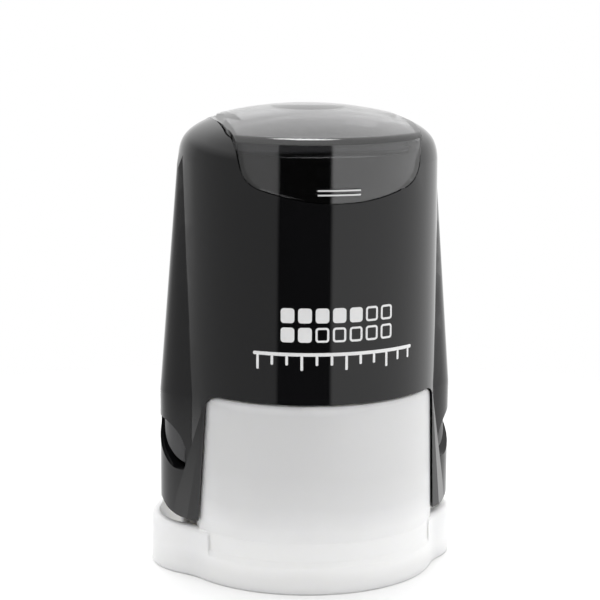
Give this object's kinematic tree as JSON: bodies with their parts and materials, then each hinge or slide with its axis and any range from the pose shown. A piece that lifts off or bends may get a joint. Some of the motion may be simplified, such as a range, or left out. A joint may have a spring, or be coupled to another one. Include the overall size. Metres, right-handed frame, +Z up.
{
  "type": "round self-inking date stamp",
  "caption": "Round self-inking date stamp standing pressed down in its translucent cap; handle, flipping print block, date wheels and index window move.",
  "frame": {"origin": "centre of the protective cap's underside, on the surface the stamp stands on", "axes": "+Z up along the stroke, front with the index window's flap towards -Y, lock buttons on -X and +X"},
  "size_m": [0.0508, 0.047, 0.0763],
  "materials": {
    "gloss_black": "high gloss moulded ABS",
    "satin_black": "satin moulded",
    "matte_black": "fine matte texture",
    "smoked_clear": "smoked clear polystyrene, polished",
    "milky_plastic": "translucent natural polypropylene",
    "card": "printed card",
    "spring_steel": "drawn spring wire",
    "pin_steel": "ground",
    "tray_plastic": "fine matte texture",
    "ink_felt_blue": "inked felt",
    "ink_felt_red": "inked felt",
    "grey_plastic": "moulded acetal",
    "mount_plastic": "moulded",
    "plate_rubber": "laser-cut rubber",
    "band_rubber": "moulded rubber",
    "wheel_plastic": "moulded"
  },
  "bodies": {
    "cap": {"protective_cap": "milky_plastic"},
    "frame": {"base_frame": "matte_black", "ink_pad_tray": "tray_plastic", "ink_pad_text": "ink_felt_blue", "ink_pad_date": "ink_felt_red", "return_spring": "spring_steel"},
    "handle": {"outer_housing": "gloss_black", "drive_yoke": "matte_black", "index_card": "card"},
    "window": {"index_window": "smoked_clear"},
    "lock_left": {"lock_button_left": "satin_black"},
    "lock_right": {"lock_button_right": "satin_black"},
    "block": {"block_carrier": "grey_plastic", "text_plate_mount": "mount_plastic", "text_plate": "plate_rubber", "flip_pin_left": "pin_steel", "flip_pin_right": "pin_steel", "flip_crank_left": "grey_plastic", "flip_crank_right": "grey_plastic", "band_nose": "grey_plastic", "wheel_axle": "pin_steel", "date_band_day_tens": "band_rubber", "date_band_day_units": "band_rubber", "date_band_month": "band_rubber", "date_band_year": "band_rubber"},
    "wheel_day_tens": {"date_wheel_day_tens": "wheel_plastic"},
    "wheel_day_units": {"date_wheel_day_units": "wheel_plastic"},
    "wheel_month": {"date_wheel_month": "wheel_plastic"},
    "wheel_year": {"date_wheel_year": "wheel_plastic"}
  },
  "joints": [
    {"name": "stamp_lift_off", "type": "slide", "parent": "cap", "child": "frame", "axis": [0, 0, 1], "range_m": [0, 0.036]},
    {"name": "handle_stroke", "type": "slide", "parent": "frame", "child": "handle", "axis": [0, 0, 1], "range_m": [0, 0.024], "deforming": ["return_spring"]},
    {"name": "block_flip", "type": "hinge", "parent": "handle", "child": "block", "pos_m": [0, 0, 0.02185], "axis": [1, 0, 0], "range_deg": [0, 180.5]},
    {"name": "window_lift", "type": "slide", "parent": "handle", "child": "window", "axis": [0, 0, 1], "range_m": [0, 0.012]},
    {"name": "lock_press_left", "type": "slide", "parent": "handle", "child": "lock_left", "axis": [1, 0, 0], "range_m": [0, 0.0008], "stiffness_N_per_m": 400},
    {"name": "lock_press_right", "type": "slide", "parent": "handle", "child": "lock_right", "axis": [-1, 0, 0], "range_m": [0, 0.0008], "stiffness_N_per_m": 400},
    {"name": "set_day_tens", "type": "hinge", "parent": "block", "child": "wheel_day_tens", "pos_m": [-0.00815, 0, 0.02835], "axis": [1, 0, 0], "continuous": true},
    {"name": "set_day_units", "type": "hinge", "parent": "block", "child": "wheel_day_units", "pos_m": [-0.00395, 0, 0.02835], "axis": [1, 0, 0], "continuous": true},
    {"name": "set_month", "type": "hinge", "parent": "block", "child": "wheel_month", "pos_m": [0.00195, 0, 0.02835], "axis": [1, 0, 0], "continuous": true},
    {"name": "set_year", "type": "hinge", "parent": "block", "child": "wheel_year", "pos_m": [0.00805, 0, 0.02835], "axis": [1, 0, 0], "continuous": true}
  ],
  "couplings": [
    {"joint": "block_flip", "follows": "handle_stroke", "rad_per_m": 130.9}
  ]
}
